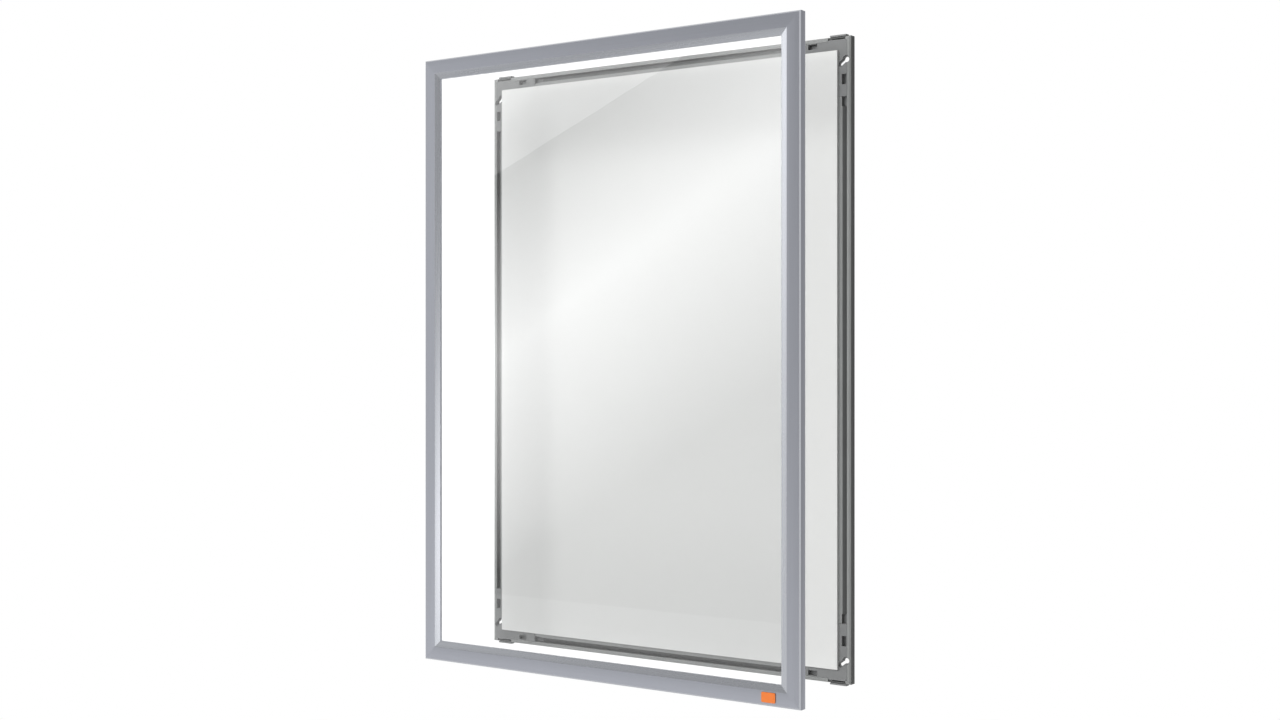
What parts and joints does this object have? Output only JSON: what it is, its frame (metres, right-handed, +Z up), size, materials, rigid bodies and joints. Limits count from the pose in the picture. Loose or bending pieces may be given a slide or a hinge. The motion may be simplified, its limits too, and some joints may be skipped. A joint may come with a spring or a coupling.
{
  "type": "poster frame",
  "caption": "Portrait front-loading poster frame shown opened: mitred satin bezel with clear sheet standing in front of a dark grey wall frame with a white backboard.",
  "frame": {"origin": "middle of the wall frame's back plane, on the wall", "axes": "+X to the viewer's right, +Y into the wall, +Z up; the bezel faces -Y and closes along +Y"},
  "size_m": [0.636, 0.1641, 0.888],
  "materials": {
    "grey_plastic": "dark grey moulded and extruded plastic, semi-matt",
    "board_white": "white smooth-faced backing board",
    "satin_aluminium": "satin anodised, brushed along each length",
    "bracket_zinc": "zinc-plated flat steel",
    "clip_plastic": "black moulded plastic",
    "clear_sheet": "clear glossy plastic sheet",
    "badge_orange": "plain orange, glossy"
  },
  "bodies": {
    "wall_frame": {"back_rail_left": "grey_plastic", "back_rail_top": "grey_plastic", "back_rail_right": "grey_plastic", "back_rail_bottom": "grey_plastic", "corner_key_top_left": "grey_plastic", "corner_key_top_right": "grey_plastic", "corner_key_bottom_left": "grey_plastic", "corner_key_bottom_right": "grey_plastic", "backboard": "board_white"},
    "front_bezel": {"bezel_rail_left": "satin_aluminium", "bezel_rail_top": "satin_aluminium", "bezel_rail_right": "satin_aluminium", "bezel_rail_bottom": "satin_aluminium", "bezel_bracket_top_left": "bracket_zinc", "bezel_bracket_top_right": "bracket_zinc", "bezel_bracket_bottom_left": "bracket_zinc", "bezel_bracket_bottom_right": "bracket_zinc", "bezel_clip_left_bottom": "clip_plastic", "bezel_clip_left_top": "clip_plastic", "bezel_clip_top_left": "clip_plastic", "bezel_clip_top_right": "clip_plastic", "bezel_clip_right_bottom": "clip_plastic", "bezel_clip_right_top": "clip_plastic", "bezel_clip_bottom_left": "clip_plastic", "bezel_clip_bottom_right": "clip_plastic", "glazing_sheet": "clear_sheet", "plain_badge": "badge_orange"}
  },
  "joints": [
    {"name": "bezel_slide", "type": "slide", "parent": "wall_frame", "child": "front_bezel", "axis": [0, 1, 0], "range_m": [0, 0.141]}
  ]
}
